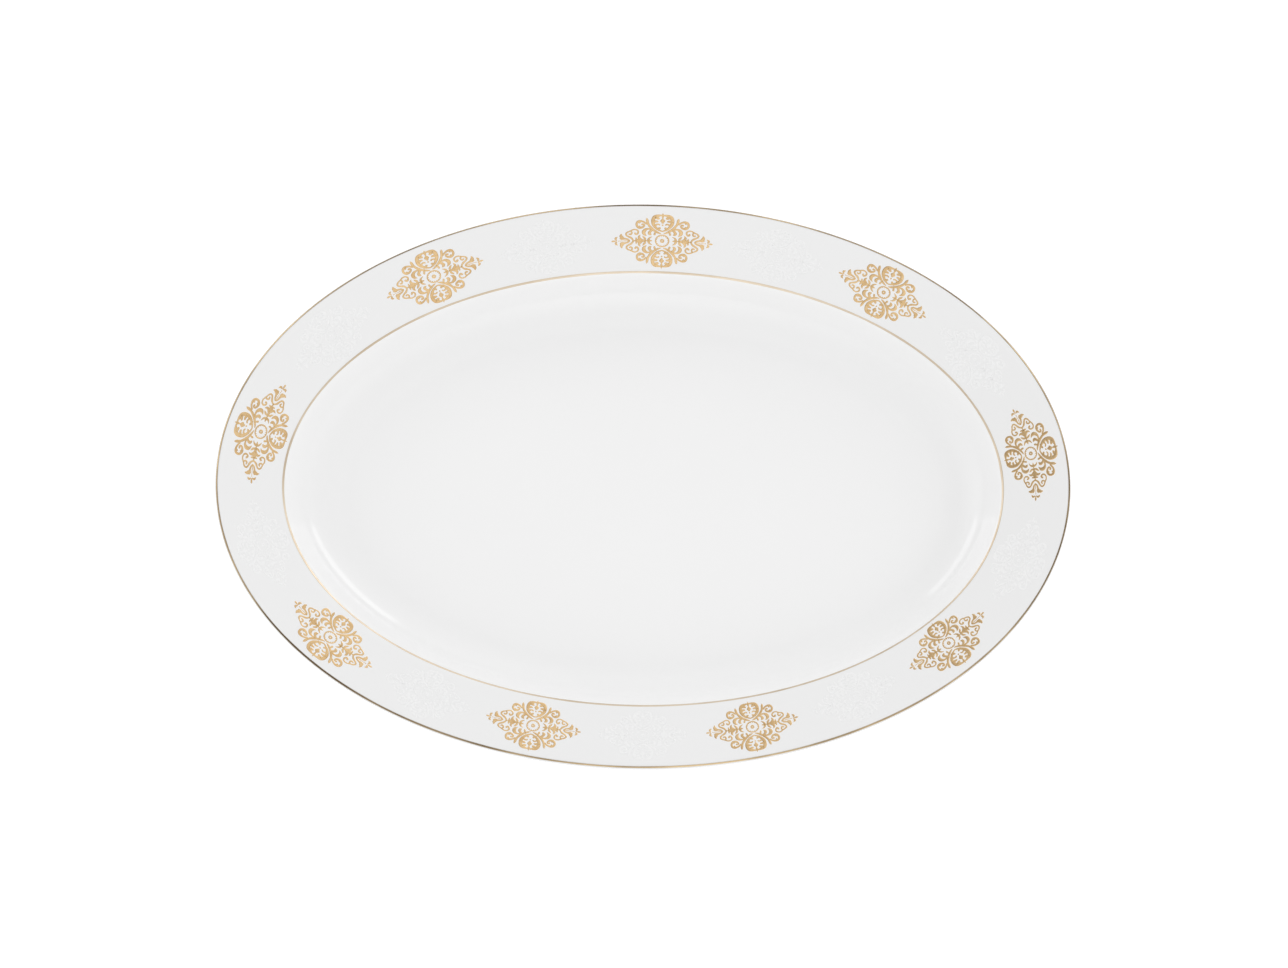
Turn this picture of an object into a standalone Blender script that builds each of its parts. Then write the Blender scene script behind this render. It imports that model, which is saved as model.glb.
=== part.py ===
"""An oval china serving platter: one fired porcelain body with a foot ring, a gilt line on the lip,
a gilt line on the verge, and eighteen damask medallions round the rim, gilt and white in turn.

Metres, +Z up. The origin is the middle of the table plane under the foot ring, and +X is the long way.

The rings of the body are ovals with the same inset from the lip on both axes, so no ring is a scaled
copy of another. That is why the body and the two lines are lofted ring by ring.
"""

import math

import bmesh
import bpy

MM = 0.001

# ---- Driving dimensions: plan ----
LENGTH = 360 * MM
WIDTH = 246 * MM
VERGE_INSET = 28.7 * MM  # from the lip's edge to the corner between rim and well
END_LEAN = 1.24  # the well's wall runs in this much further at the two ends than at the sides

# ---- Driving dimensions: section, taken across the width ----
FOOT_HEIGHT = 3.2 * MM
FLOOR_THICKNESS = 4.0 * MM
WELL_DEPTH = 16.4 * MM  # from the verge corner down to the floor
RIM_SLOPE = math.radians(10)
WALL_SLOPE = math.radians(55)
WALL_THICKNESS = 3.8 * MM
LIP_THICKNESS = 2.8 * MM
VERGE_RADIUS = 4.0 * MM
FLOOR_RADIUS = 20.0 * MM
UNDER_RADIUS = 14.0 * MM
FOOT_INSET = 45.6 * MM  # from the lip's edge to the foot ring's outer side
FOOT_WIDTH = 3.0 * MM
FOOT_TAPER = 0.6 * MM  # how much each side of the foot ring leans
FOOT_ROUND = 0.6 * MM

# ---- Decoration ----
GAP = 0.3 * MM  # clear space between the glaze and what is laid on it
LAYER = 0.3 * MM  # thickness of a laid-on layer
LIP_LINE_INSET = 0.60 * MM
LIP_LINE_WIDTH = 0.60 * MM  # in plan: the lip curves down under it
VERGE_LINE_INSET = 28.5 * MM
VERGE_LINE_WIDTH = 0.75 * MM
MEDALLIONS = 18  # gilt and white in turn
FIRST_MEDALLION = 0.345  # where the first gilt one stands, in steps round the rim from the +X end
MEDALLION_INSET = 14.8 * MM  # from the lip's edge to a medallion's centre

# Each medallion was laid by eye. For each, counter-clockwise from the first gilt one: how far it stands
# past its even step and out from the usual oval, in millimetres, how far it is turned, in degrees, and
# how its length came out against the usual one.
HAND_LAID = (
    (-0.4, -0.2, -1.3, 1.00),
    (-0.5, -0.9, 0.4, 0.97),
    (-0.2, 0.0, 0.9, 1.00),
    (-0.3, -0.4, -0.5, 0.97),
    (0.3, -0.6, -0.3, 1.03),
    (1.0, -0.6, 0.0, 0.98),
    (2.2, -0.1, 0.2, 1.05),
    (4.8, -0.4, 0.0, 1.00),
    (8.4, -0.4, 0.3, 1.11),
    (10.9, -0.4, 0.0, 0.98),
    (12.4, 0.5, 0.6, 1.04),
    (11.8, 0.3, -0.9, 0.93),
    (10.2, 0.2, -0.6, 0.97),
    (8.3, 0.0, 0.0, 0.92),
    (6.3, 0.2, 0.0, 0.94),
    (3.2, -0.4, 0.0, 0.92),
    (1.1, -0.5, 1.1, 0.96),
    (-0.2, 0.0, 1.1, 0.96),
)

# One quarter of a medallion's outline, in millimetres, from its point along the rim to its top across it.
OUTLINE_QUARTER = (
    (21.0, 0.0),  # the point
    (19.7, 1.5),
    (18.5, 1.8),
    (17.6, 2.1),
    (16.6, 3.1),  # tulip
    (15.3, 3.1),
    (14.6, 4.0),  # open scroll
    (11.7, 5.2),
    (11.1, 7.2),  # round scroll
    (10.2, 8.4),
    (8.8, 8.8),
    (7.0, 8.3),
    (6.4, 9.6),  # leaf tip
    (5.2, 8.2),
    (4.5, 9.4),  # heart
    (3.2, 10.6),
    (2.0, 11.1),
    (0.0, 11.4),
)

# ---- Fineness ----
OVAL_SEGMENTS = 72
ARC_STEP = math.radians(15)
STATION_STEPS = 1440

# ---- Worked out ----
HALF_LENGTH = LENGTH / 2
HALF_WIDTH = WIDTH / 2
FLOOR_Z = FOOT_HEIGHT + FLOOR_THICKNESS
VERGE_Z = FLOOR_Z + WELL_DEPTH


def new_collection(name):
    collection = bpy.data.collections.new(name)
    bpy.context.scene.collection.children.link(collection)
    return collection


def new_material(name, colour, roughness, metallic=0.0, coat=0.0):
    material = bpy.data.materials.new(name)
    material.use_nodes = True
    shader = material.node_tree.nodes["Principled BSDF"]
    shader.inputs["Base Color"].default_value = (*colour, 1.0)
    shader.inputs["Roughness"].default_value = roughness
    shader.inputs["Metallic"].default_value = metallic
    shader.inputs["Coat Weight"].default_value = coat
    material.diffuse_color = (*colour, 1.0)
    return material


def new_object(name, collection, material, rings_to_mesh):
    """An object whose mesh is filled in by rings_to_mesh, which takes a bmesh."""
    mesh = bpy.data.meshes.new(name)
    build = bmesh.new()
    rings_to_mesh(build)
    build.to_mesh(mesh)
    build.free()
    mesh.materials.append(material)
    mesh.shade_smooth()
    mesh.set_sharp_from_angle(angle=math.radians(40))
    obj = bpy.data.objects.new(name, mesh)
    collection.objects.link(obj)
    return obj


def thicken(obj, thickness):
    """Turns an open sheet into a layer, growing along its normals."""
    solidify = obj.modifiers.new("Layer", "SOLIDIFY")
    solidify.thickness = thickness
    solidify.offset = 1.0
    solidify.use_even_offset = True


# ---- Section ----
# A section is a chain of (inset, height) points. Inset is measured inwards from the lip's edge.


def along(point, angle, distance):
    """The point a distance away, at an angle above the inward horizontal."""
    return (point[0] + distance * math.cos(angle), point[1] + distance * math.sin(angle))


def rounded_corner(before, corner, after, radius):
    """Points on the arc that rounds one corner of a chain."""
    into = math.atan2(corner[1] - before[1], corner[0] - before[0])
    out = math.atan2(after[1] - corner[1], after[0] - corner[0])
    turn = math.remainder(out - into, math.tau)
    start = along(corner, into + math.pi, radius * math.tan(abs(turn) / 2))
    side = math.copysign(math.pi / 2, turn)
    centre = along(start, into + side, radius)
    steps = max(2, round(abs(turn) / ARC_STEP))
    return [along(centre, into - side + turn * step / steps, radius) for step in range(steps + 1)]


def rounded_chain(corners):
    """The chain through (inset, height, radius) corners, each one rounded by its radius."""
    points = [corners[0][:2]]
    for before, corner, after in zip(corners, corners[1:], corners[2:]):
        if corner[2] > 0:
            points += rounded_corner(before[:2], corner[:2], after[:2], corner[2])
        else:
            points.append(corner[:2])
    points.append(corners[-1][:2])
    return points


def body_section():
    """The body's section, from the middle of the floor up over the lip and back underneath."""
    lip_top = (0.0, VERGE_Z + VERGE_INSET * math.tan(RIM_SLOPE))
    lip_under = (0.0, lip_top[1] - LIP_THICKNESS)
    verge = (VERGE_INSET, VERGE_Z)
    floor_corner = (VERGE_INSET + WELL_DEPTH / math.tan(WALL_SLOPE), FLOOR_Z)

    half_turn = (WALL_SLOPE - RIM_SLOPE) / 2
    under_verge = along(verge, -RIM_SLOPE - half_turn - math.pi / 2, WALL_THICKNESS / math.cos(half_turn))
    under_drop = under_verge[1] - FOOT_HEIGHT
    under_corner = (under_verge[0] + under_drop / math.tan(WALL_SLOPE), FOOT_HEIGHT)

    foot_outer = FOOT_INSET
    foot_inner = FOOT_INSET + FOOT_WIDTH
    lip_round = LIP_THICKNESS * 0.46
    return rounded_chain(
        [
            (HALF_WIDTH, FLOOR_Z, 0.0),
            (*floor_corner, FLOOR_RADIUS),
            (*verge, VERGE_RADIUS),
            (*lip_top, lip_round),
            (*lip_under, lip_round),
            (*under_verge, VERGE_RADIUS + WALL_THICKNESS),
            (*under_corner, UNDER_RADIUS),
            (foot_outer, FOOT_HEIGHT, 0.0),
            (foot_outer + FOOT_TAPER, 0.0, FOOT_ROUND),
            (foot_inner - FOOT_TAPER, 0.0, FOOT_ROUND),
            (foot_inner, FOOT_HEIGHT, 0.0),
            (HALF_WIDTH, FOOT_HEIGHT, 0.0),
        ]
    )


def point_at_inset(chain, inset):
    """The place on a chain where it first reaches an inset, and the direction that it runs in there."""
    for first, second in zip(chain, chain[1:]):
        low, high = sorted((first[0], second[0]))
        if low <= inset <= high and high > low:
            share = (inset - first[0]) / (second[0] - first[0])
            height = first[1] + share * (second[1] - first[1])
            return (inset, height), math.atan2(second[1] - first[1], second[0] - first[0])
    raise ValueError("the section doesn't reach that inset")


def line_section(chain, inset, width):
    """A short chain for a painted line, laid just above the body's upper side, from its inner edge out."""
    points = []
    for edge in (inset + width / 2, inset - width / 2):
        place, direction = point_at_inset(chain, edge)
        points.append(along(place, direction - math.pi / 2, GAP))
    return points


# ---- Ovals ----


def half_axes(inset):
    """Half length and half width of the oval at an inset. Inside the verge the ends lean in further."""
    past_verge = max(0.0, inset - VERGE_INSET)
    return HALF_LENGTH - inset - past_verge * (END_LEAN - 1), HALF_WIDTH - inset


def oval_ring(build, inset, height):
    half_length, half_width = half_axes(inset)
    turns = [math.tau * step / OVAL_SEGMENTS for step in range(OVAL_SEGMENTS)]
    return [
        build.verts.new((half_length * math.cos(turn), half_width * math.sin(turn), height))
        for turn in turns
    ]


def join_rings(build, inner, outer):
    """Faces between two rings, with their fronts on the left of the way from inner to outer."""
    count = len(inner)
    for step in range(count):
        after = (step + 1) % count
        build.faces.new((inner[step], outer[step], outer[after], inner[after]))


def close_ring(build, ring, height, facing_up):
    """Fills a ring with triangles round a middle point."""
    middle = build.verts.new((0.0, 0.0, height))
    for step, corner in enumerate(ring):
        after = ring[(step + 1) % len(ring)]
        build.faces.new((middle, corner, after) if facing_up else (middle, after, corner))


def fill_body(build, chain):
    rings = [oval_ring(build, *point) for point in chain[1:-1]]
    close_ring(build, rings[0], chain[0][1], facing_up=True)
    for inner, outer in zip(rings, rings[1:]):
        join_rings(build, inner, outer)
    close_ring(build, rings[-1], chain[-1][1], facing_up=False)


def fill_band(build, chain):
    rings = [oval_ring(build, *point) for point in chain]
    for inner, outer in zip(rings, rings[1:]):
        join_rings(build, inner, outer)


# ---- Places on the rim ----


def middle_oval(turn):
    """The point and the outward direction on the oval that the medallions' centres stand on."""
    half_length, half_width = half_axes(MEDALLION_INSET)
    point = (half_length * math.cos(turn), half_width * math.sin(turn))
    slope = math.hypot(half_width * math.cos(turn), half_length * math.sin(turn))
    outward = (half_width * math.cos(turn) / slope, half_length * math.sin(turn) / slope)
    return point, outward


def middle_oval_lengths():
    """How far round the middle oval each of its small steps ends, starting at the +X end."""
    lengths = [0.0]
    before = middle_oval(0.0)[0]
    for step in range(1, STATION_STEPS + 1):
        point = middle_oval(math.tau * step / STATION_STEPS)[0]
        lengths.append(lengths[-1] + math.dist(before, point))
        before = point
    return lengths


STATIONS = middle_oval_lengths()


def turn_at(distance):
    """The middle oval's parameter at a distance round it."""
    distance %= STATIONS[-1]
    step = next(i for i, length in enumerate(STATIONS[1:]) if length >= distance)
    share = (distance - STATIONS[step]) / (STATIONS[step + 1] - STATIONS[step])
    return math.tau * (step + share) / STATION_STEPS


def rim_inset(x, y):
    """The inset of the oval that passes through a place on the rim, found by halving."""
    low, high = 0.0, HALF_WIDTH / 2
    for _ in range(40):
        middle = (low + high) / 2
        half_length, half_width = half_axes(middle)
        inside = (x / half_length) ** 2 + (y / half_width) ** 2 < 1
        low, high = (middle, high) if inside else (low, middle)
    return low


def rim_place(distance, across, lift):
    """A point at a distance round the rim, across it towards the lip, and lifted off its upper side."""
    point, outward = middle_oval(turn_at(distance))
    x = point[0] + outward[0] * across
    y = point[1] + outward[1] * across
    height = VERGE_Z + (VERGE_INSET - rim_inset(x, y)) * math.tan(RIM_SLOPE)
    inward = lift * math.sin(RIM_SLOPE)
    return (x - outward[0] * inward, y - outward[1] * inward, height + lift * math.cos(RIM_SLOPE))


def medallion_outline():
    """The whole outline, counter-clockwise, from one quarter of it."""
    quarter = [(u * MM, v * MM) for u, v in OUTLINE_QUARTER]
    half = quarter + [(-u, v) for u, v in reversed(quarter[:-1])]
    return half + [(-u, -v) for u, v in half[1:-1]]


def fill_medallion(build, distance, out, tilt, stretch):
    """An open sheet in the medallion's outline. Along runs counter-clockwise round the rim and across
    runs outwards, so the outline is taken backwards to face up."""
    outline = []
    for u, v in medallion_outline():
        along_rim = u * math.cos(tilt) - v * math.sin(tilt)
        across_rim = u * math.sin(tilt) + v * math.cos(tilt)
        place = rim_place(distance + along_rim * stretch, out + across_rim, GAP)
        outline.append(build.verts.new(place))
    middle = build.verts.new(rim_place(distance, out, GAP))
    for step, corner in enumerate(outline):
        after = outline[(step + 1) % len(outline)]
        build.faces.new((middle, after, corner))


# ---- The parts ----


def make_body(collection, chain, porcelain):
    new_object("platter_body", collection, porcelain, lambda build: fill_body(build, chain))


def make_line(name, collection, gilt, section):
    line = new_object(name, collection, gilt, lambda build: fill_band(build, section))
    thicken(line, LAYER)


def make_medallion(name, collection, material, laying):
    medallion = new_object(
        name, collection, material, lambda build: fill_medallion(build, *laying)
    )
    thicken(medallion, LAYER)


def make_medallions(collection, gilt, white):
    """Stepped round the rim, gilt and white in turn, each where the hand that laid it put it."""
    step = STATIONS[-1] / MEDALLIONS
    for index, (slip, out, degrees, stretch) in enumerate(HAND_LAID):
        distance = (FIRST_MEDALLION + index) * step + slip * MM
        laying = (distance, out * MM, math.radians(degrees), stretch)
        kind, material = (("gilt", gilt), ("white", white))[index % 2]
        name = f"{kind}_medallion_{index // 2 + 1}"
        make_medallion(name, collection, material, laying)


def main():
    for obj in list(bpy.data.objects):
        bpy.data.objects.remove(obj)

    collection = new_collection("china_serving_platter")
    porcelain = new_material("porcelain_glaze", (0.86, 0.86, 0.85), 0.08, coat=0.5)
    gilt = new_material("matt_gilding", (0.76, 0.56, 0.30), 0.32, metallic=1.0)
    white = new_material("white_relief_enamel", (0.90, 0.90, 0.89), 0.18)

    chain = body_section()
    make_body(collection, chain, porcelain)
    make_line("lip_line", collection, gilt, line_section(chain, LIP_LINE_INSET, LIP_LINE_WIDTH))
    make_line("verge_line", collection, gilt, line_section(chain, VERGE_LINE_INSET, VERGE_LINE_WIDTH))
    make_medallions(collection, gilt, white)


main()
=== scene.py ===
import math

import bmesh
import bpy
import numpy as np
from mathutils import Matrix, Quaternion, Vector


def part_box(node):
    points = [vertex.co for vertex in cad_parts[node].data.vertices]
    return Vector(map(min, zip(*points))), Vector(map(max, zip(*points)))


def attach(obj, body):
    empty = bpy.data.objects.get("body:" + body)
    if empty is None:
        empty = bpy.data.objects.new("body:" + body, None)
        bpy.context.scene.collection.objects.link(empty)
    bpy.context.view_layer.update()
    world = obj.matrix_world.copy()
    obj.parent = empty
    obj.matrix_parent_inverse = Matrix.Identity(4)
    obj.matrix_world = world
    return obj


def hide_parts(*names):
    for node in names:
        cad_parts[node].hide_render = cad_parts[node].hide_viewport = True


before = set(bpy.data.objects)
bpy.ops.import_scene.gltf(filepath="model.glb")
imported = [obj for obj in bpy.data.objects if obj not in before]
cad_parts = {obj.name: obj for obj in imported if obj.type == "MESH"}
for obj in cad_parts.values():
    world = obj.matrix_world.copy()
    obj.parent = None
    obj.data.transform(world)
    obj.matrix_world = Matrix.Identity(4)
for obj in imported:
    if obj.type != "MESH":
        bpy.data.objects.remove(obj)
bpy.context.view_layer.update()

MM = 0.001

# ---- The platter's shape ----
# The body's size is read from the CAD. The other measures are the ones the CAD was built with, apart from
# the lines' widths, because the gilt lines are a little wider on the glaze than their CAD layers.
_, BODY_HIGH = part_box("platter_body")
HALF_LENGTH = BODY_HIGH.x
HALF_WIDTH = BODY_HIGH.y
VERGE_INSET = 28.7 * MM  # from the lip's edge to the corner between rim and well
END_LEAN = 1.24  # the well's wall runs in this much further at the two ends than at the sides
FOOT_HEIGHT = 3.2 * MM
FLOOR_THICKNESS = 4.0 * MM
WELL_DEPTH = 16.4 * MM
RIM_SLOPE = math.radians(10)
WALL_SLOPE = math.radians(55)
WALL_THICKNESS = 3.8 * MM
LIP_THICKNESS = 2.8 * MM
LIP_ROUND_SHARE = 0.46  # the radius of the lip's two edges, as a share of its thickness
VERGE_RADIUS = 4.0 * MM
FLOOR_RADIUS = 20.0 * MM
UNDER_RADIUS = 14.0 * MM
FOOT_INSET = 45.6 * MM  # from the lip's edge to the foot ring's outer side
FOOT_WIDTH = 3.0 * MM
FOOT_TAPER = 0.6 * MM  # how much each side of the foot ring leans
FOOT_ROUND = 0.6 * MM
FOOT_ROOT_ROUND = 0.4 * MM  # where the foot ring meets the underside
LIP_LINE_INSET = 0.60 * MM
LIP_LINE_WIDTH = 0.75 * MM
VERGE_LINE_INSET = 28.5 * MM
VERGE_LINE_WIDTH = 0.85 * MM
MEDALLIONS_OF_A_KIND = 9  # gilt ones, and as many white ones
MEDALLION_INSET = 14.8 * MM  # from the lip's edge to the oval that the medallions stand on
MEDALLION_HALF_LENGTH = 21.0 * MM
FLOOR_Z = FOOT_HEIGHT + FLOOR_THICKNESS
VERGE_Z = FLOOR_Z + WELL_DEPTH

# ---- Fineness ----
OVAL_SEGMENTS = 360
ARC_STEP = math.radians(3)
LONGEST_STRAIGHT = 3 * MM
STATION_STEPS = 5760  # places measured along the medallions' oval
INSET_HALVINGS = 40
STROKE_SAMPLES = 4  # samples between two points of a stroke

# ---- Relief of the decoration ----
SUNK = 0.02 * MM  # how far a layer reaches into the glaze, so that no gap shows
LINE_HEIGHT = 0.035 * MM
GILT_HEIGHT = 0.03 * MM
WHITE_HEIGHT = 0.05 * MM

# A painted line's section between its sunk edge and its middle, as (share of its half width, share of its
# height). The other half mirrors it.
LINE_SECTION = ((0.9, 0.6), (0.45, 1.0), (0.0, 1.0))
# How a line wanders round the platter: sine waves as (size, waves in one round, phase).
LIP_WAVES = ((0.05, 5, 0.4), (0.05, 13, 2.1), (0.04, 31, 4.0), (0.03, 77, 1.2))
VERGE_WAVES = ((0.05, 4, 1.4), (0.05, 11, 0.3), (0.04, 27, 5.0), (0.03, 64, 2.2))
WIDTH_WANDER = 0.9  # share of the width that a wave of size 1 would add
SIDE_WANDER = 0.05 * MM  # sideways shift that a wave of size 1 would give

# ---- Whiteness and the body's material slots ----
# One glaze in three whitenesses: the rim's and the underside's copies are darker than the well's, as
# painted shade.
WELL_WHITENESS = 0.93
RIM_PAINTED_SHADE_WHITENESS = 0.88
UNDER_PAINTED_SHADE_WHITENESS = 0.80
ENAMEL_WHITENESS = 0.905
BARE_BELOW = 0.25 * MM  # the height under which the foot carries no glaze
WELL_SLOT, RIM_PAINTED_SHADE_SLOT, UNDER_PAINTED_SHADE_SLOT, BARE_SLOT = range(4)


# ---- Section and ovals ----


def along(point, angle, distance):
    """The point a distance away, at an angle above the inward horizontal."""
    return (point[0] + distance * math.cos(angle), point[1] + distance * math.sin(angle))


def rounded_corner(before, corner, after, radius):
    """Points on the arc that rounds one corner of a chain."""
    into = math.atan2(corner[1] - before[1], corner[0] - before[0])
    out = math.atan2(after[1] - corner[1], after[0] - corner[0])
    turn = math.remainder(out - into, math.tau)
    start = along(corner, into + math.pi, radius * math.tan(abs(turn) / 2))
    side = math.copysign(math.pi / 2, turn)
    centre = along(start, into + side, radius)
    steps = max(2, round(abs(turn) / ARC_STEP))
    return [along(centre, into - side + turn * step / steps, radius) for step in range(steps + 1)]


def with_short_straights(points):
    """The chain with its long straight stretches cut into short ones."""
    made = [points[0]]
    for before, after in zip(points, points[1:]):
        cuts = max(1, math.ceil(math.dist(before, after) / LONGEST_STRAIGHT))
        for cut in range(1, cuts + 1):
            share = cut / cuts
            made.append(tuple(b + (a - b) * share for b, a in zip(before, after)))
    return made


def body_section():
    """The body's section as (inset, height), from the floor's edge over the lip and back to the foot."""
    lip_top = (0.0, VERGE_Z + VERGE_INSET * math.tan(RIM_SLOPE))
    lip_under = (0.0, lip_top[1] - LIP_THICKNESS)
    verge = (VERGE_INSET, VERGE_Z)
    floor_corner = (VERGE_INSET + WELL_DEPTH / math.tan(WALL_SLOPE), FLOOR_Z)
    half_turn = (WALL_SLOPE - RIM_SLOPE) / 2
    downward = -RIM_SLOPE - half_turn - math.pi / 2
    under_verge = along(verge, downward, WALL_THICKNESS / math.cos(half_turn))
    under_drop = under_verge[1] - FOOT_HEIGHT
    under_corner = (under_verge[0] + under_drop / math.tan(WALL_SLOPE), FOOT_HEIGHT)
    foot_inner = FOOT_INSET + FOOT_WIDTH
    lip_round = LIP_THICKNESS * LIP_ROUND_SHARE
    corners = [
        (HALF_WIDTH, FLOOR_Z, 0.0),
        (*floor_corner, FLOOR_RADIUS),
        (*verge, VERGE_RADIUS),
        (*lip_top, lip_round),
        (*lip_under, lip_round),
        (*under_verge, VERGE_RADIUS + WALL_THICKNESS),
        (*under_corner, UNDER_RADIUS),
        (FOOT_INSET, FOOT_HEIGHT, FOOT_ROOT_ROUND),
        (FOOT_INSET + FOOT_TAPER, 0.0, FOOT_ROUND),
        (foot_inner - FOOT_TAPER, 0.0, FOOT_ROUND),
        (foot_inner, FOOT_HEIGHT, FOOT_ROOT_ROUND),
        (HALF_WIDTH, FOOT_HEIGHT, 0.0),
    ]
    points = []
    for before, corner, after in zip(corners, corners[1:], corners[2:]):
        points += rounded_corner(before[:2], corner[:2], after[:2], corner[2])
    return with_short_straights(points)


SECTION = body_section()


def half_axes(inset):
    """Half length and half width of the oval at an inset. Inside the verge the ends lean in further."""
    past_verge = np.maximum(0.0, inset - VERGE_INSET)
    return HALF_LENGTH - inset - past_verge * (END_LEAN - 1), HALF_WIDTH - inset


def ring_points(inset, height):
    """The oval at an inset, as points at one height."""
    turns = np.linspace(0, math.tau, OVAL_SEGMENTS, endpoint=False)
    half_length, half_width = half_axes(inset)
    x = half_length * np.cos(turns)
    y = half_width * np.sin(turns)
    return np.stack([x, y, np.broadcast_to(height, x.shape)], axis=1)


def mesh_object(name, points, faces):
    """A smooth-shaded object in the scene."""
    mesh = bpy.data.meshes.new(name)
    mesh.from_pydata([tuple(point) for point in points], [], faces)
    mesh.validate()
    mesh.shade_smooth()
    obj = bpy.data.objects.new(name, mesh)
    bpy.context.scene.collection.objects.link(obj)
    return obj


def loft_faces(rings, count, closed):
    """Quads between rings of count points each, and back to the first ring where the loft is closed."""
    faces = []
    for ring in range(rings if closed else rings - 1):
        here = ring * count
        there = (ring + 1) % rings * count
        for step in range(count):
            after = (step + 1) % count
            faces.append((here + step, there + step, there + after, here + after))
    return faces


# ---- Places on the rim ----


def middle_oval(turns):
    """Points and outward directions on the oval that the medallions' centres stand on."""
    half_length, half_width = half_axes(MEDALLION_INSET)
    points = np.stack([half_length * np.cos(turns), half_width * np.sin(turns)], axis=-1)
    outward = np.stack([half_width * np.cos(turns), half_length * np.sin(turns)], axis=-1)
    return points, outward / np.linalg.norm(outward, axis=-1, keepdims=True)


STATION_TURNS = np.linspace(0, math.tau, STATION_STEPS + 1)
STATION_POINTS, STATION_OUTWARD = middle_oval(STATION_TURNS)
STATION_LENGTHS = np.concatenate(
    [[0.0], np.cumsum(np.linalg.norm(np.diff(STATION_POINTS, axis=0), axis=1))]
)
ROUND = STATION_LENGTHS[-1]


def rim_insets(places):
    """The inset of the oval through each place on the rim, found by halving."""
    low = np.zeros(len(places))
    high = np.full(len(places), HALF_WIDTH / 2)
    for _ in range(INSET_HALVINGS):
        middle = (low + high) / 2
        half_length, half_width = half_axes(middle)
        inside = (places[:, 0] / half_length) ** 2 + (places[:, 1] / half_width) ** 2 < 1
        low = np.where(inside, middle, low)
        high = np.where(inside, high, middle)
    return low


def rim_points(distance, across, lift):
    """Points at distances round the rim, across it towards the lip, lifted off its upper side."""
    turns = np.interp(distance % ROUND, STATION_LENGTHS, STATION_TURNS)
    middle, outward = middle_oval(turns)
    places = middle + outward * across[:, None]
    height = VERGE_Z + (VERGE_INSET - rim_insets(places)) * math.tan(RIM_SLOPE)
    places = places - outward * (lift * math.sin(RIM_SLOPE))[:, None]
    return np.column_stack([places, height + lift * math.cos(RIM_SLOPE)])


def medallion_laying(node):
    """How a CAD medallion lies: its middle round the rim and across it, its tilt and its stretch."""
    corners = np.array([vertex.co[:2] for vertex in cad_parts[node].data.vertices])
    gaps = np.linalg.norm(corners[:, None] - STATION_POINTS[None, :-1], axis=2)
    stations = np.argmin(gaps, axis=1)
    distance = STATION_LENGTHS[stations]
    distance = distance[0] + (distance - distance[0] + ROUND / 2) % ROUND - ROUND / 2
    across = np.sum((corners - STATION_POINTS[stations]) * STATION_OUTWARD[stations], axis=1)
    first, last = np.argmin(distance), np.argmax(distance)
    length = 2 * MEDALLION_HALF_LENGTH
    tilt = math.asin((across[last] - across[first]) / length)
    stretch = (distance[last] - distance[first]) / (length * math.cos(tilt))
    return (distance[first] + distance[last]) / 2, (across[first] + across[last]) / 2, tilt, stretch


# ---- The damask motif, in millimetres: u along the rim, v across it ----
# A stroke is a row of (u, v, half width) points, joined by a smooth curve.

HEART_RIM = (
    (0.0, 4.05, 0.24),
    (0.8, 4.3, 0.32),
    (1.9, 4.9, 0.44),
    (2.95, 5.85, 0.58),
    (3.68, 6.95, 0.68),
    (3.92, 8.1, 0.72),
    (3.76, 9.25, 0.74),
    (3.15, 10.1, 0.76),
    (2.2, 10.5, 0.68),
    (1.2, 10.8, 0.42),
    (0.4, 10.85, 0.34),
    (0.0, 10.8, 0.34),
)
HEART_LOBE_TOP = ((2.7, 9.9, 0.55), (2.2, 9.65, 0.5), (1.65, 9.5, 0.46))
HEART_LOBE_HIGH = ((3.9, 8.0, 0.6), (3.2, 8.15, 0.54), (2.6, 8.28, 0.46), (2.1, 8.25, 0.36))
HEART_LOBE_LOW = (
    (3.4, 6.5, 0.55),
    (2.9, 6.65, 0.46),
    (2.3, 6.95, 0.33),
    (1.7, 7.05, 0.32),
    (1.25, 6.8, 0.3),
)
HEART_LOBE_FOOT = ((2.2, 4.95, 0.45), (1.6, 5.15, 0.45), (1.15, 5.4, 0.44))
HEART_BUD = ((0.0, 9.3, 0.35), (0.0, 8.85, 0.8), (0.0, 8.35, 0.98), (0.0, 7.8, 0.5))
HEART_DROP = ((0.0, 11.85, 0.05), (0.0, 11.3, 0.28), (0.0, 10.5, 0.5), (0.0, 9.95, 0.36))
LONG_LEAF = (
    (0.6, 3.05, 0.16),
    (1.5, 3.35, 0.36),
    (2.5, 3.85, 0.44),
    (3.5, 4.5, 0.48),
    (4.35, 5.2, 0.54),
    (5.0, 5.95, 0.5),
    (5.6, 6.8, 0.46),
    (5.98, 7.7, 0.5),
    (6.15, 8.5, 0.54),
    (6.3, 9.2, 0.4),
    (6.38, 9.65, 0.1),
)
LEAF_LOBE = ((2.6, 3.9, 0.34), (2.95, 3.3, 0.38), (3.15, 2.75, 0.44))
LEAF_COMMA = (
    (4.3, 4.5, 0.5),
    (4.95, 3.9, 0.52),
    (5.3, 3.25, 0.62),
    (5.0, 2.8, 0.54),
    (4.75, 2.6, 0.34),
)
CRESCENT_LEAF = (
    (4.9, 4.95, 0.32),
    (6.1, 5.0, 0.4),
    (6.95, 4.6, 0.62),
    (7.5, 4.0, 0.74),
    (7.58, 3.35, 0.76),
    (7.3, 2.75, 0.56),
    (6.85, 2.35, 0.32),
    (6.4, 2.05, 0.1),
)
VOLUTE = (
    (6.5, 7.2, 0.35),
    (7.3, 7.85, 0.36),
    (8.1, 8.2, 0.4),
    (9.1, 8.36, 0.44),
    (10.0, 8.0, 0.48),
    (10.42, 7.2, 0.46),
    (10.35, 6.4, 0.46),
    (9.8, 5.75, 0.5),
    (9.1, 5.52, 0.52),
    (8.2, 5.65, 0.44),
    (7.55, 6.1, 0.4),
    (7.35, 6.6, 0.34),
    (7.65, 7.0, 0.32),
    (8.15, 6.9, 0.4),
)
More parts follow.
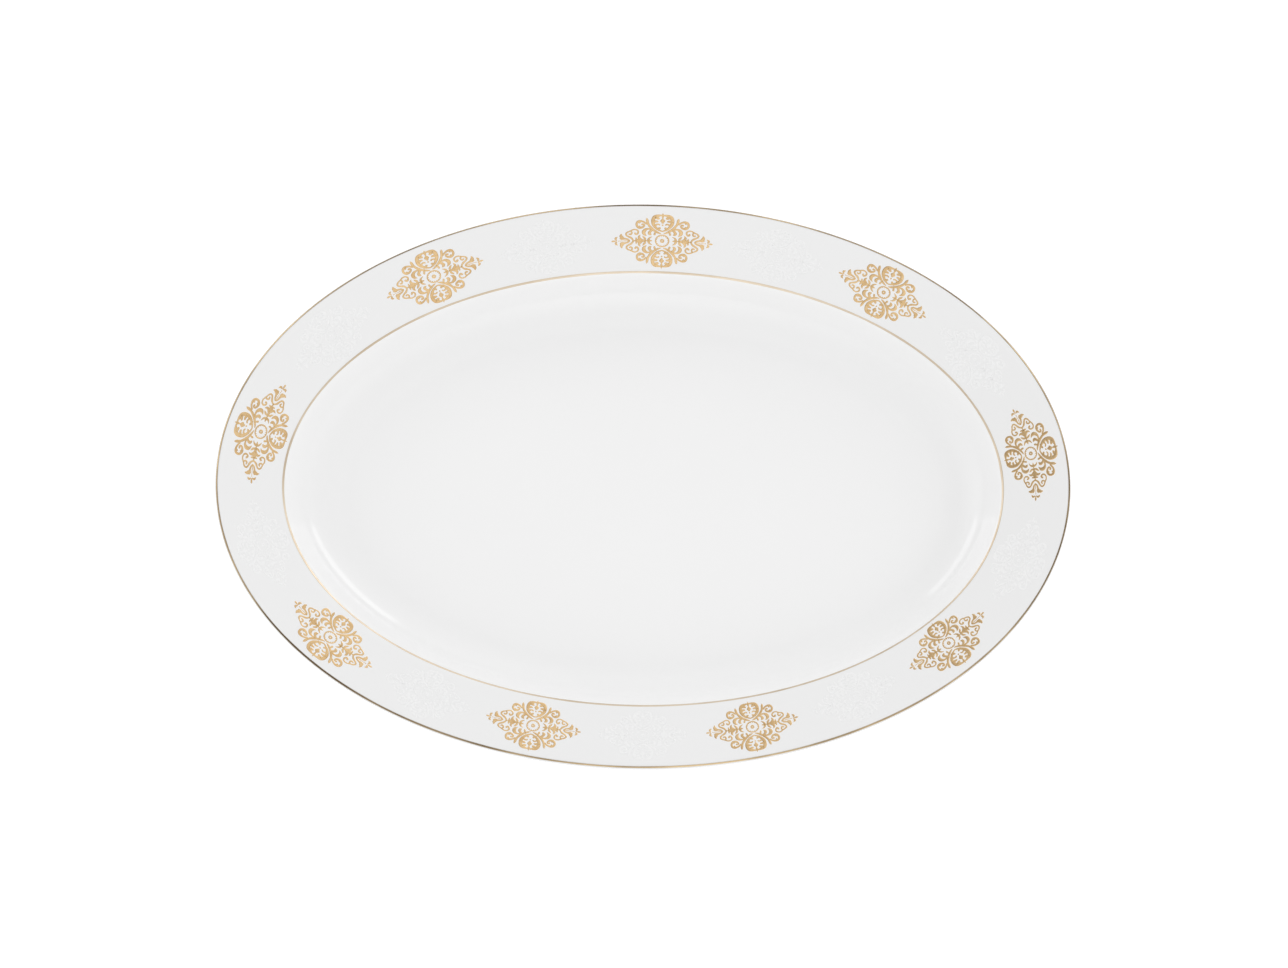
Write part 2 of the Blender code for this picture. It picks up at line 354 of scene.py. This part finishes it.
VOLUTE_LOBE = ((9.0, 8.1, 0.3), (9.25, 7.65, 0.36))
VOLUTE_SPUR = ((9.0, 5.7, 0.4), (9.25, 6.15, 0.28))
OPEN_SCROLL = (
    (11.05, 3.1, 0.44),
    (10.65, 2.68, 0.34),
    (10.1, 2.95, 0.35),
    (9.8, 3.65, 0.36),
    (10.1, 4.35, 0.32),
    (10.9, 4.75, 0.28),
    (11.9, 4.68, 0.28),
    (12.8, 4.2, 0.3),
    (13.6, 3.9, 0.28),
    (14.25, 3.6, 0.32),
    (14.75, 3.0, 0.36),
    (14.6, 2.35, 0.35),
    (13.9, 1.85, 0.34),
    (12.9, 1.35, 0.42),
    (12.3, 0.8, 0.36),
    (11.95, 0.2, 0.34),
    (11.85, -0.1, 0.32),
)
SCROLL_HOOK = (
    (12.8, 4.15, 0.3),
    (12.42, 3.55, 0.33),
    (12.55, 2.95, 0.35),
    (13.05, 2.68, 0.34),
    (13.5, 2.85, 0.28),
)
CALYX = ((4.2, 1.7, 0.12), (4.85, 1.4, 0.28), (5.4, 0.9, 0.42), (5.6, 0.3, 0.52), (5.6, -0.1, 0.52))
CALYX_CORE = ((4.35, 0.0, 0.18), (4.9, 0.0, 0.35), (5.5, 0.0, 0.45), (6.2, 0.0, 0.24), (6.7, 0.0, 0.25))
PALMETTE_FRONT = (
    (8.0, 1.95, 0.16),
    (7.6, 1.5, 0.38),
    (7.15, 1.0, 0.44),
    (7.0, 0.5, 0.4),
    (7.1, 0.0, 0.38),
)
PALMETTE_ARM = (
    (9.05, 2.4, 0.14),
    (9.4, 1.9, 0.4),
    (9.5, 1.3, 0.52),
    (9.1, 0.75, 0.55),
    (8.4, 0.35, 0.45),
)
PALMETTE_BODY = (
    (6.7, 0.0, 0.35),
    (7.5, 0.0, 0.5),
    (8.5, 0.0, 0.6),
    (9.5, 0.0, 0.85),
    (10.3, 0.0, 0.75),
)
PALMETTE_COLLAR = ((10.68, -1.05, 0.32), (10.65, 0.0, 0.4), (10.68, 1.05, 0.32))
PALMETTE_TAIL = ((10.8, 0.0, 0.24), (11.9, 0.0, 0.28))
TULIP_PETAL = (
    (13.5, 0.1, 0.3),
    (14.2, 0.65, 0.34),
    (15.1, 0.88, 0.36),
    (15.9, 1.1, 0.46),
    (16.5, 1.5, 0.7),
    (16.85, 2.1, 0.64),
    (16.75, 2.75, 0.32),
)
TULIP_FOOT = ((15.8, 0.75, 0.25), (16.6, 0.8, 0.36), (17.15, 1.1, 0.34))
TULIP_STEM = (
    (13.6, 0.0, 0.3),
    (14.3, 0.0, 0.12),
    (15.2, 0.0, 0.18),
    (16.0, 0.0, 0.08),
    (17.6, 0.0, 0.12),
)
TIP_LEAF = ((18.45, 1.65, 0.16), (18.9, 1.35, 0.42), (19.15, 0.95, 0.42), (18.8, 0.45, 0.26))
TIP_POINT = ((18.9, 0.0, 0.15), (19.8, 0.0, 0.34), (20.5, 0.0, 0.32), (20.9, 0.0, 0.05))

# Strokes drawn in all four quarters, in the halves above and below, and in the halves at the two sides.
FOUR_TIMES = (
    HEART_RIM,
    HEART_LOBE_TOP,
    HEART_LOBE_HIGH,
    HEART_LOBE_LOW,
    HEART_LOBE_FOOT,
    LONG_LEAF,
    LEAF_LOBE,
    LEAF_COMMA,
    CRESCENT_LEAF,
    VOLUTE,
    VOLUTE_LOBE,
    VOLUTE_SPUR,
    OPEN_SCROLL,
    SCROLL_HOOK,
    CALYX,
    PALMETTE_FRONT,
    PALMETTE_ARM,
    TULIP_PETAL,
    TULIP_FOOT,
    TIP_LEAF,
)
ABOVE_AND_BELOW = (HEART_BUD, HEART_DROP)
AT_THE_SIDES = (CALYX_CORE, PALMETTE_BODY, PALMETTE_COLLAR, PALMETTE_TAIL, TULIP_STEM, TIP_POINT)

EYE_RADIUS = 0.54  # the middle eye is a small thick ring
EYE_HALF_WIDTH = 0.36
RING_RADII = (2.72, 2.42)  # along the rim and across it
RING_HALF_WIDTH = 0.28
RING_BEADS = 16
RING_BEAD_RADIUS = 0.2
END_ANGLES = (30, 60, 82)  # degrees round the half disc at a stroke's end
# A bead's rings, as (share of its radius, share of the full height); negative heights are sunk.
BEAD_PROFILE = ((1.0, -1.0), (0.96, 0.45), (0.6, 0.92))
SPRIG_BEAD = (0.0, 6.65, 0.36)  # u, v and radius
TIP_BEAD = (17.95, 0.0, 0.2)
STROKE_WEIGHT = 1.08  # the strokes came out this much heavier than they were drawn
ACROSS_SHARE = 0.98  # the motif was drawn a little taller than it was laid


def smooth_curve(points, samples):
    """A Catmull-Rom curve through rows of numbers, with so many samples between two rows."""
    rows = np.array(points, float)
    padded = np.vstack([2 * rows[0] - rows[1], rows, 2 * rows[-1] - rows[-2]])
    made = []
    for step in range(len(rows) - 1):
        p0, p1, p2, p3 = padded[step : step + 4]
        for t in np.linspace(0, 1, samples, endpoint=False):
            made.append(
                0.5 * (2 * p1 + (p2 - p0) * t + (2 * p0 - 5 * p1 + 4 * p2 - p3) * t**2)
                + 0.5 * (3 * p1 - p0 - 3 * p2 + p3) * t**3
            )
    made.append(rows[-1])
    return np.array(made)


def with_round_ends(rows):
    """The rows of a stroke with a half disc of its own width drawn on at each end."""
    ends = []
    for end, inner in ((rows[0], rows[1]), (rows[-1], rows[-2])):
        outward = end[:2] - inner[:2]
        outward /= np.linalg.norm(outward)
        added = []
        for angle in np.radians(END_ANGLES):
            spot = end[:2] + outward * end[2] * math.sin(angle)
            added.append((*spot, end[2] * math.cos(angle)))
        ends.append(added)
    return np.array([*reversed(ends[0]), *rows, *ends[1]])


class Relief:
    """Raised strokes and beads on a flat plane, kept as points (u, v, share of the full height)."""

    # Across a stroke, as (share of its half width, share of the full height); negative heights are sunk.
    PROFILE = ((-1.0, -1.0), (-0.92, 0.5), (-0.4, 1.0), (0.4, 1.0), (0.92, 0.5), (1.0, -1.0))

    # Strokes that cross never have the same height, because two tops in one plane would flicker.
    HEIGHT_STEPS = 7
    HEIGHT_STEP = 0.04

    def __init__(self):
        self.points = []
        self.faces = []
        self.strokes = 0

    def add_stroke(self, rows, closed=False):
        """rows are (u, v, half width). An open stroke gets round ends."""
        if not closed:
            rows = with_round_ends(rows)
        lowered = 1 - self.HEIGHT_STEP * (self.strokes % self.HEIGHT_STEPS)
        self.strokes += 1
        count = len(self.PROFILE)
        base = len(self.points)
        before = np.roll(rows[:, :2], 1, axis=0)
        after = np.roll(rows[:, :2], -1, axis=0)
        if not closed:
            before[0] = rows[0, :2]
            after[-1] = rows[-1, :2]
        along_it = after - before
        along_it /= np.linalg.norm(along_it, axis=1, keepdims=True)
        left = np.stack([-along_it[:, 1], along_it[:, 0]], axis=1)
        for place, side, half_width in zip(rows[:, :2], left, rows[:, 2]):
            for across, height in self.PROFILE:
                u, v = place - side * across * half_width
                self.points.append((u, v, height * lowered))
        for ring in range(len(rows) if closed else len(rows) - 1):
            here = base + ring * count
            there = base + (ring + 1) % len(rows) * count
            for step in range(count):
                after_step = (step + 1) % count
                self.faces.append((here + step, here + after_step, there + after_step, there + step))
        if not closed:
            first = [base + step for step in range(count)]
            last = [base + (len(rows) - 1) * count + step for step in range(count)]
            self.faces.append(tuple(reversed(first)))
            self.faces.append(tuple(last))

    def add_bead(self, centre, radius, sides):
        """A low round dome."""
        base = len(self.points)
        for share, height in BEAD_PROFILE:
            for side in range(sides):
                angle = math.tau * side / sides
                u = centre[0] + radius * share * math.cos(angle)
                v = centre[1] + radius * share * math.sin(angle)
                self.points.append((u, v, height))
        for ring in range(len(BEAD_PROFILE) - 1):
            for side in range(sides):
                after = (side + 1) % sides
                low = base + ring * sides
                high = low + sides
                self.faces.append((low + side, low + after, high + after, high + side))
        top = len(self.points)
        self.points.append((*centre, 1.0))
        last = base + (len(BEAD_PROFILE) - 1) * sides
        for side in range(sides):
            self.faces.append((last + side, last + (side + 1) % sides, top))
        self.faces.append(tuple(base + side for side in reversed(range(sides))))


def oval_stroke(radii, half_width, samples):
    """A closed stroke round the motif's middle."""
    turns = np.linspace(0, math.tau, samples, endpoint=False)
    widths = np.full(samples, half_width)
    return np.stack([radii[0] * np.cos(turns), radii[1] * np.sin(turns), widths], axis=1)


def damask():
    """The whole motif as a relief on the plane."""
    relief = Relief()
    relief.add_stroke(oval_stroke((EYE_RADIUS, EYE_RADIUS), EYE_HALF_WIDTH, 32), closed=True)
    relief.add_stroke(oval_stroke(RING_RADII, RING_HALF_WIDTH, 72), closed=True)
    reach = [radius - RING_HALF_WIDTH - RING_BEAD_RADIUS / 2 for radius in RING_RADII]
    for bead in range(RING_BEADS):
        angle = math.tau * (bead + 0.5) / RING_BEADS
        relief.add_bead((reach[0] * math.cos(angle), reach[1] * math.sin(angle)), RING_BEAD_RADIUS, 10)
    for side_u in (1, -1):
        for side_v in (1, -1):
            for stroke in FOUR_TIMES:
                relief.add_stroke(smooth_curve(stroke, STROKE_SAMPLES) * (side_u, side_v, STROKE_WEIGHT))
    for side in (1, -1):
        for stroke in ABOVE_AND_BELOW:
            relief.add_stroke(smooth_curve(stroke, STROKE_SAMPLES) * (1, side, STROKE_WEIGHT))
        relief.add_bead((SPRIG_BEAD[0], side * SPRIG_BEAD[1]), SPRIG_BEAD[2], 16)
        for stroke in AT_THE_SIDES:
            relief.add_stroke(smooth_curve(stroke, STROKE_SAMPLES) * (side, 1, STROKE_WEIGHT))
        relief.add_bead((side * TIP_BEAD[0], TIP_BEAD[1]), TIP_BEAD[2], 12)
    points = np.array(relief.points) * (MM, ACROSS_SHARE * MM, 1)
    return points, relief.faces


# ---- Materials ----
# Noise scales are patches per metre, and bump distances are metres.

# A Mix node has several sockets of each name, so the ones it mixes colours with are found by number.
MIX_SHARE, MIX_FIRST, MIX_SECOND, MIX_RESULT = 0, 6, 7, 2


def grey(level):
    return (level, level, level)


def new_material(name, colour, roughness, metallic=0.0):
    material = bpy.data.materials.new(name)
    material.use_nodes = True
    nodes = material.node_tree.nodes
    shader = nodes["Principled BSDF"]
    shader.inputs["Base Color"].default_value = (*colour, 1.0)
    shader.inputs["Roughness"].default_value = roughness
    shader.inputs["Metallic"].default_value = metallic
    return material, nodes, material.node_tree.links, shader


def noise_node(nodes, links, coordinates, scale, detail):
    noise = nodes.new("ShaderNodeTexNoise")
    noise.inputs["Scale"].default_value = scale
    noise.inputs["Detail"].default_value = detail
    links.new(coordinates, noise.inputs["Vector"])
    return noise.outputs["Fac"]


def range_node(nodes, links, value, low, high, to_low, to_high):
    """The value carried over from one range to another."""
    ranged = nodes.new("ShaderNodeMapRange")
    ranged.inputs["From Min"].default_value = low
    ranged.inputs["From Max"].default_value = high
    ranged.inputs["To Min"].default_value = to_low
    ranged.inputs["To Max"].default_value = to_high
    links.new(value, ranged.inputs["Value"])
    return ranged.outputs["Result"]


def colour_between(nodes, links, share, first, second):
    mix = nodes.new("ShaderNodeMix")
    mix.data_type = "RGBA"
    mix.inputs[MIX_FIRST].default_value = (*first, 1.0)
    mix.inputs[MIX_SECOND].default_value = (*second, 1.0)
    links.new(share, mix.inputs[MIX_SHARE])
    return mix.outputs[MIX_RESULT]


def bump_node(nodes, links, height, distance, strength, before=None):
    bump = nodes.new("ShaderNodeBump")
    bump.inputs["Distance"].default_value = distance
    bump.inputs["Strength"].default_value = strength
    links.new(height, bump.inputs["Height"])
    if before is not None:
        links.new(before, bump.inputs["Normal"])
    return bump.outputs["Normal"]


def object_coordinates(nodes):
    return nodes.new("ShaderNodeTexCoord").outputs["Object"]


def glazed_porcelain(name, whiteness):
    """White body under a clear glaze: clouded a little, and gently rippled where the glaze ran."""
    material, nodes, links, shader = new_material(name, grey(whiteness), 0.1)
    place = object_coordinates(nodes)
    clouds = noise_node(nodes, links, place, 14.0, 3.0)
    colour = colour_between(nodes, links, clouds, grey(whiteness - 0.008), grey(whiteness + 0.008))
    links.new(colour, shader.inputs["Base Color"])
    gloss = noise_node(nodes, links, place, 60.0, 5.0)
    links.new(range_node(nodes, links, gloss, 0.3, 0.7, 0.07, 0.13), shader.inputs["Roughness"])
    ripple = noise_node(nodes, links, place, 45.0, 2.0)
    peel = noise_node(nodes, links, place, 900.0, 2.0)
    slow = bump_node(nodes, links, ripple, 0.00025, 0.35)
    fine = bump_node(nodes, links, peel, 0.00001, 0.4, slow)
    links.new(fine, shader.inputs["Normal"])
    shader.inputs["IOR"].default_value = 1.5
    return material


def bare_porcelain():
    """The foot ring's bearing face, wiped clear of glaze: matt, faintly warm and gritty."""
    material, nodes, links, shader = new_material("bare_porcelain", (0.74, 0.725, 0.69), 0.7)
    place = object_coordinates(nodes)
    stain = noise_node(nodes, links, place, 180.0, 6.0)
    colour = colour_between(nodes, links, stain, (0.62, 0.60, 0.56), (0.78, 0.77, 0.74))
    links.new(colour, shader.inputs["Base Color"])
    grit = noise_node(nodes, links, place, 4000.0, 3.0)
    links.new(bump_node(nodes, links, grit, 0.00005, 0.6), shader.inputs["Normal"])
    return material


def fired_gold(name, light, deep_tone_and_painted_reflection, low_roughness, high_roughness, patch_scale):
    """Fired gold: satin, with a fine grain, in lighter and deeper patches that are partly the gold's own
    uneven tone and partly painted reflection.
    """
    material, nodes, links, shader = new_material(name, light, low_roughness, metallic=1.0)
    place = object_coordinates(nodes)
    patches = noise_node(nodes, links, place, patch_scale, 4.0)
    share = range_node(nodes, links, patches, 0.35, 0.65, 0.0, 1.0)
    links.new(colour_between(nodes, links, share, deep_tone_and_painted_reflection, light), shader.inputs["Base Color"])
    polish = noise_node(nodes, links, place, 900.0, 4.0)
    rough = range_node(nodes, links, polish, 0.3, 0.7, low_roughness, high_roughness)
    links.new(rough, shader.inputs["Roughness"])
    grain = noise_node(nodes, links, place, 3500.0, 3.0)
    links.new(bump_node(nodes, links, grain, 0.00002, 0.35), shader.inputs["Normal"])
    return material


def white_enamel():
    """Raised white enamel, a little whiter and softer than the glaze under it."""
    material, nodes, links, shader = new_material("white_enamel", grey(ENAMEL_WHITENESS), 0.25)
    place = object_coordinates(nodes)
    patches = noise_node(nodes, links, place, 220.0, 4.0)
    darker, lighter = grey(ENAMEL_WHITENESS - 0.01), grey(ENAMEL_WHITENESS + 0.01)
    colour = colour_between(nodes, links, patches, darker, lighter)
    links.new(colour, shader.inputs["Base Color"])
    polish = noise_node(nodes, links, place, 700.0, 4.0)
    links.new(range_node(nodes, links, polish, 0.3, 0.7, 0.2, 0.34), shader.inputs["Roughness"])
    grain = noise_node(nodes, links, place, 2500.0, 3.0)
    links.new(bump_node(nodes, links, grain, 0.00002, 0.3), shader.inputs["Normal"])
    return material


# ---- Pieces ----


def make_body(well_glaze, rim_painted_shade_glaze, under_painted_shade_glaze, bare):
    """The platter: its section lofted round the ovals, and the bearing face of its foot left bare."""
    rings = [ring_points(inset, height) for inset, height in SECTION]
    points = np.vstack(rings)
    faces = loft_faces(len(rings), OVAL_SEGMENTS, closed=False)
    for ring, facing_up in ((0, True), (len(rings) - 1, False)):
        middle = len(points)
        points = np.vstack([points, [[0.0, 0.0, SECTION[ring][1]]]])
        for step in range(OVAL_SEGMENTS):
            here = ring * OVAL_SEGMENTS + step
            after = ring * OVAL_SEGMENTS + (step + 1) % OVAL_SEGMENTS
            faces.append((middle, here, after) if facing_up else (middle, after, here))
    body = mesh_object("platter_porcelain", points, faces)
    for material in (well_glaze, rim_painted_shade_glaze, under_painted_shade_glaze, bare):
        body.data.materials.append(material)
    highest = max(range(len(SECTION)), key=lambda ring: SECTION[ring][1])
    # The rim and the underside get the darker copies of the glaze, as painted shade.
    for ring, (first, second) in enumerate(zip(SECTION, SECTION[1:])):
        slot = WELL_SLOT
        if max(first[1], second[1]) < BARE_BELOW:
            slot = BARE_SLOT
        elif ring >= highest:
            slot = UNDER_PAINTED_SHADE_SLOT
        elif (first[0] + second[0]) / 2 < VERGE_LINE_INSET:
            slot = RIM_PAINTED_SHADE_SLOT
        for step in range(OVAL_SEGMENTS):
            body.data.polygons[ring * OVAL_SEGMENTS + step].material_index = slot
    for face in range(len(faces) - OVAL_SEGMENTS, len(faces)):  # the cap on the underside
        body.data.polygons[face].material_index = UNDER_PAINTED_SHADE_SLOT
    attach(body, "root")
    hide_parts("platter_body")


def surface_point(inset):
    """The upper side's point and direction at an inset."""
    for first, second in zip(SECTION, SECTION[1:]):
        low, high = sorted((first[0], second[0]))
        if low <= inset <= high and high > low:
            share = (inset - first[0]) / (second[0] - first[0])
            height = first[1] + share * (second[1] - first[1])
            return (inset, height), math.atan2(second[1] - first[1], second[0] - first[0])
    raise ValueError("the section doesn't reach that inset")


def make_line(name, node, inset, width, gold, waves):
    """A painted line: a low crowned band that follows the section, its edges wandering a little."""
    segments = 2 * OVAL_SEGMENTS
    profile = [(1.0, -SUNK)] + [(share, high * LINE_HEIGHT) for share, high in LINE_SECTION]
    profile += [(-share, lift) for share, lift in reversed(profile[:-1])]
    turns = np.linspace(0, math.tau, segments, endpoint=False)
    wander = sum(size * np.sin(count * turns + phase) for size, count, phase in waves)
    points = []
    for share, lift in profile:
        for turn, off in zip(turns, wander):
            half = width / 2 * (1 + WIDTH_WANDER * off)
            place, direction = surface_point(inset + share * half + SIDE_WANDER * off)
            spot = along(place, direction - math.pi / 2, lift)
            half_length, half_width = half_axes(spot[0])
            points.append((half_length * math.cos(turn), half_width * math.sin(turn), spot[1]))
    line = mesh_object(name, points, loft_faces(len(profile), segments, closed=True))
    line.data.materials.append(gold)
    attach(line, "root")
    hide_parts(node)


def make_medallion(name, node, motif, height, material):
    """The motif laid on the rim where the CAD medallion is, bent along with the rim."""
    points, faces = motif
    middle, out, tilt, stretch = medallion_laying(node)
    along_rim = points[:, 0] * math.cos(tilt) - points[:, 1] * math.sin(tilt)
    across_rim = points[:, 0] * math.sin(tilt) + points[:, 1] * math.cos(tilt)
    lift = np.where(points[:, 2] < 0, -SUNK, points[:, 2] * height)
    places = rim_points(middle + along_rim * stretch, out + across_rim, lift)
    medallion = mesh_object(name, places, faces)
    clean = bmesh.new()
    clean.from_mesh(medallion.data)
    bmesh.ops.recalc_face_normals(clean, faces=clean.faces)
    clean.to_mesh(medallion.data)
    clean.free()
    medallion.data.materials.append(material)
    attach(medallion, "root")
    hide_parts(node)


# ---- Stage, light and camera ----

FLOOR_HALF_SIZE = 3.0
FLOOR_DROP = 0.2 * MM  # keeps the floor just clear of the foot
FLOOR_WHITENESS = 0.93
FLOOR_GLOW = 0.25  # lifts the floor to the photo's pure white


def make_floor():
    far = FLOOR_HALF_SIZE
    corners = [(-far, -far, 0), (far, -far, 0), (far, far, 0), (-far, far, 0)]
    floor = mesh_object("floor", corners, [(0, 1, 2, 3)])
    material, _, _, shader = new_material("pale_floor", grey(FLOOR_WHITENESS), 0.8)
    shader.inputs["Emission Color"].default_value = (1.0, 1.0, 1.0, 1.0)
    shader.inputs["Emission Strength"].default_value = FLOOR_GLOW
    shader.inputs["Specular IOR Level"].default_value = 0.0
    floor.data.materials.append(material)
    floor.location.z = -FLOOR_DROP


def towards(azimuth, elevation):
    """A direction in the studio. Azimuth 0 is behind the platter, and 90 is at its right."""
    azimuth, elevation = math.radians(azimuth), math.radians(elevation)
    return Vector(
        (
            math.sin(azimuth) * math.cos(elevation),
            math.cos(azimuth) * math.cos(elevation),
            math.sin(elevation),
        )
    )


ROOM_BRIGHTNESS = 0.72
GLOW_SHARPNESS = 10  # the power of the cosine that each soft glow falls off with
# Soft glows of bounced light on the white walls, and below zero the places that catch less of it:
# azimuth and elevation in degrees, and brightness.
GLOWS = (
    (-58, 62, -0.55),
    (58, 62, -0.22),
    (0, 90, 0.5),
    (0, 60, 0.22),
    (18, 32, 0.3),
    (60, 50, 0.15),
    (40, 8, 0.6),
    (108, 8, 0.35),
    (144, 8, 0.3),
    (180, 8, 0.5),
    (180, 30, 0.42),
    (216, 8, 0.2),
    (240, 60, 0.1),
    (282, 20, 0.75),
)

SOFTBOX_DISTANCE = 1.5
SOFTBOX_ELEVATION = 14
SOFTBOX_HEIGHT = 0.35
# Name, azimuth in degrees, width in metres, and power in watts.
SOFTBOXES = (("softbox_left", -48, 0.8, 1.3), ("softbox_right", 40, 0.9, 1.5))


def make_world():
    """A white room, lit more softly from some sides than from others."""
    world = bpy.data.worlds.new("studio")
    bpy.context.scene.world = world
    world.use_nodes = True
    nodes, links = world.node_tree.nodes, world.node_tree.links
    direction = nodes.new("ShaderNodeVectorMath")
    direction.operation = "NORMALIZE"
    links.new(nodes.new("ShaderNodeTexCoord").outputs["Generated"], direction.inputs[0])
    total = None
    for azimuth, elevation, brightness in GLOWS:
        facing = nodes.new("ShaderNodeVectorMath")
        facing.operation = "DOT_PRODUCT"
        facing.inputs[1].default_value = towards(azimuth, elevation)
        links.new(direction.outputs["Vector"], facing.inputs[0])
        front = nodes.new("ShaderNodeMath")
        front.operation = "MAXIMUM"
        front.inputs[1].default_value = 0.0
        links.new(facing.outputs["Value"], front.inputs[0])
        glow = nodes.new("ShaderNodeMath")
        glow.operation = "POWER"
        glow.inputs[1].default_value = GLOW_SHARPNESS
        links.new(front.outputs["Value"], glow.inputs[0])
        added = nodes.new("ShaderNodeMath")
        added.operation = "MULTIPLY_ADD"
        added.inputs[1].default_value = brightness
        added.inputs[2].default_value = ROOM_BRIGHTNESS
        links.new(glow.outputs["Value"], added.inputs[0])
        if total is not None:
            links.new(total, added.inputs[2])
        total = added.outputs["Value"]
    links.new(total, nodes["Background"].inputs["Color"])


def make_softbox(name, azimuth, width, power):
    """A softbox that faces the platter."""
    light = bpy.data.lights.new(name, "AREA")
    light.shape = "RECTANGLE"
    light.size = width
    light.size_y = SOFTBOX_HEIGHT
    light.energy = power
    obj = bpy.data.objects.new(name, light)
    away = towards(azimuth, SOFTBOX_ELEVATION)
    obj.location = away * SOFTBOX_DISTANCE
    obj.rotation_mode = "QUATERNION"
    obj.rotation_quaternion = away.to_track_quat("Z", "Y")
    bpy.context.scene.collection.objects.link(obj)


CAMERA_ELEVATION = math.radians(75)
CAMERA_ROLL = math.radians(0.5)
CAMERA_LENS = 900.0
SENSOR = 36.0
VIEW_WIDTH = 0.5419  # metres across the picture at the lip
AIM = (0.0004, 0.0006)  # metres right of and above the lip's centre, in the picture


def make_camera():
    camera_data = bpy.data.cameras.new("camera")
    camera_data.lens = CAMERA_LENS
    camera_data.sensor_width = SENSOR
    camera = bpy.data.objects.new("camera", camera_data)
    bpy.context.scene.collection.objects.link(camera)
    back = Vector((0.0, -math.cos(CAMERA_ELEVATION), math.sin(CAMERA_ELEVATION)))
    up = Vector((0.0, math.sin(CAMERA_ELEVATION), math.cos(CAMERA_ELEVATION)))
    distance = VIEW_WIDTH * CAMERA_LENS / SENSOR
    target = Vector((AIM[0], 0.0, BODY_HIGH.z)) + up * AIM[1]
    camera.location = target + back * distance
    camera.rotation_mode = "QUATERNION"
    aimed = back.to_track_quat("Z", "Y")
    camera.rotation_quaternion = aimed @ Quaternion((0.0, 0.0, 1.0), CAMERA_ROLL)
    camera_data.clip_end = 100.0
    bpy.context.scene.camera = camera


def main():
    well_glaze = glazed_porcelain("well_glaze", WELL_WHITENESS)
    rim_painted_shade_glaze = glazed_porcelain("rim_painted_shade_glaze", RIM_PAINTED_SHADE_WHITENESS)
    under_painted_shade_glaze = glazed_porcelain("under_painted_shade_glaze", UNDER_PAINTED_SHADE_WHITENESS)
    bare = bare_porcelain()
    # The lip gold's very dark deep colour, in large patches, is painted dark reflection along the lip.
    lip_gold = fired_gold("lip_gold", (0.60, 0.47, 0.30), (0.17, 0.12, 0.07), 0.14, 0.24, 22.0)
    verge_gold = fired_gold("verge_gold", (0.76, 0.655, 0.52), (0.62, 0.51, 0.38), 0.32, 0.42, 40.0)
    damask_gold = fired_gold("damask_gold", (0.80, 0.57, 0.31), (0.67, 0.45, 0.225), 0.16, 0.30, 260.0)
    enamel = white_enamel()
    make_body(well_glaze, rim_painted_shade_glaze, under_painted_shade_glaze, bare)
    make_line("lip_gilding", "lip_line", LIP_LINE_INSET, LIP_LINE_WIDTH, lip_gold, LIP_WAVES)
    make_line("verge_gilding", "verge_line", VERGE_LINE_INSET, VERGE_LINE_WIDTH, verge_gold, VERGE_WAVES)
    motif = damask()
    for number in range(1, MEDALLIONS_OF_A_KIND + 1):
        gilt_node = f"gilt_medallion_{number}"
        white_node = f"white_medallion_{number}"
        make_medallion(f"gilt_damask_{number}", gilt_node, motif, GILT_HEIGHT, damask_gold)
        make_medallion(f"white_damask_{number}", white_node, motif, WHITE_HEIGHT, enamel)
    make_floor()
    make_world()
    for name, azimuth, width, power in SOFTBOXES:
        make_softbox(name, azimuth, width, power)
    make_camera()
    bpy.context.scene.view_settings.view_transform = "Standard"


main()
